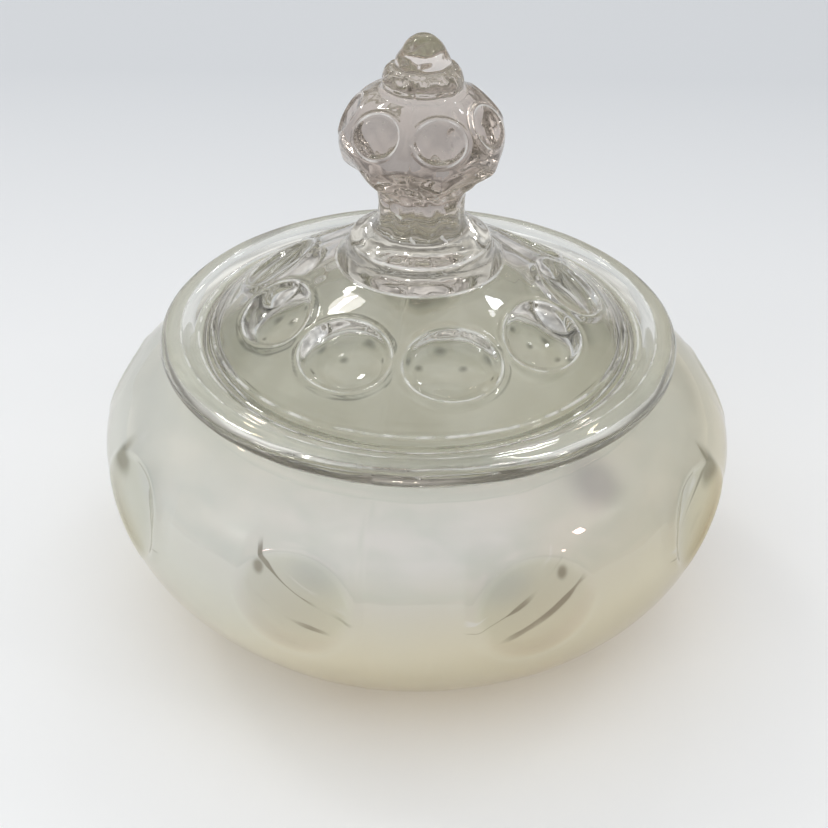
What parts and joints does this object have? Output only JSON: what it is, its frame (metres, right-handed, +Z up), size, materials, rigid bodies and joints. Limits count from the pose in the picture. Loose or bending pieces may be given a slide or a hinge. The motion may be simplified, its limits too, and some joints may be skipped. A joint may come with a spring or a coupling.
{
  "type": "covered candy dish",
  "caption": "Squat round glass candy dish with pressed thumbprints, and a lift-off domed lid with a knob finial.",
  "frame": {"origin": "on the dish's axis, at the plane of the foot ring that it stands on", "axes": "+Z up along the axis that bowl and lid are turned about; -Y is the side that faces the viewer, +X to the viewer's right"},
  "size_m": [0.156, 0.1549, 0.1476],
  "materials": {
    "pearl_glass": "milky pearl lustre over pale glass, glossy",
    "clear_glass": "clear, faintly grey-green, fire-polished"
  },
  "bodies": {
    "dish": {"bowl": "pearl_glass"},
    "cover": {"lid": "clear_glass"}
  },
  "joints": [
    {"name": "lid_lift", "type": "slide", "parent": "dish", "child": "cover", "axis": [0, 0, 1], "range_m": [0, 0.12]}
  ]
}
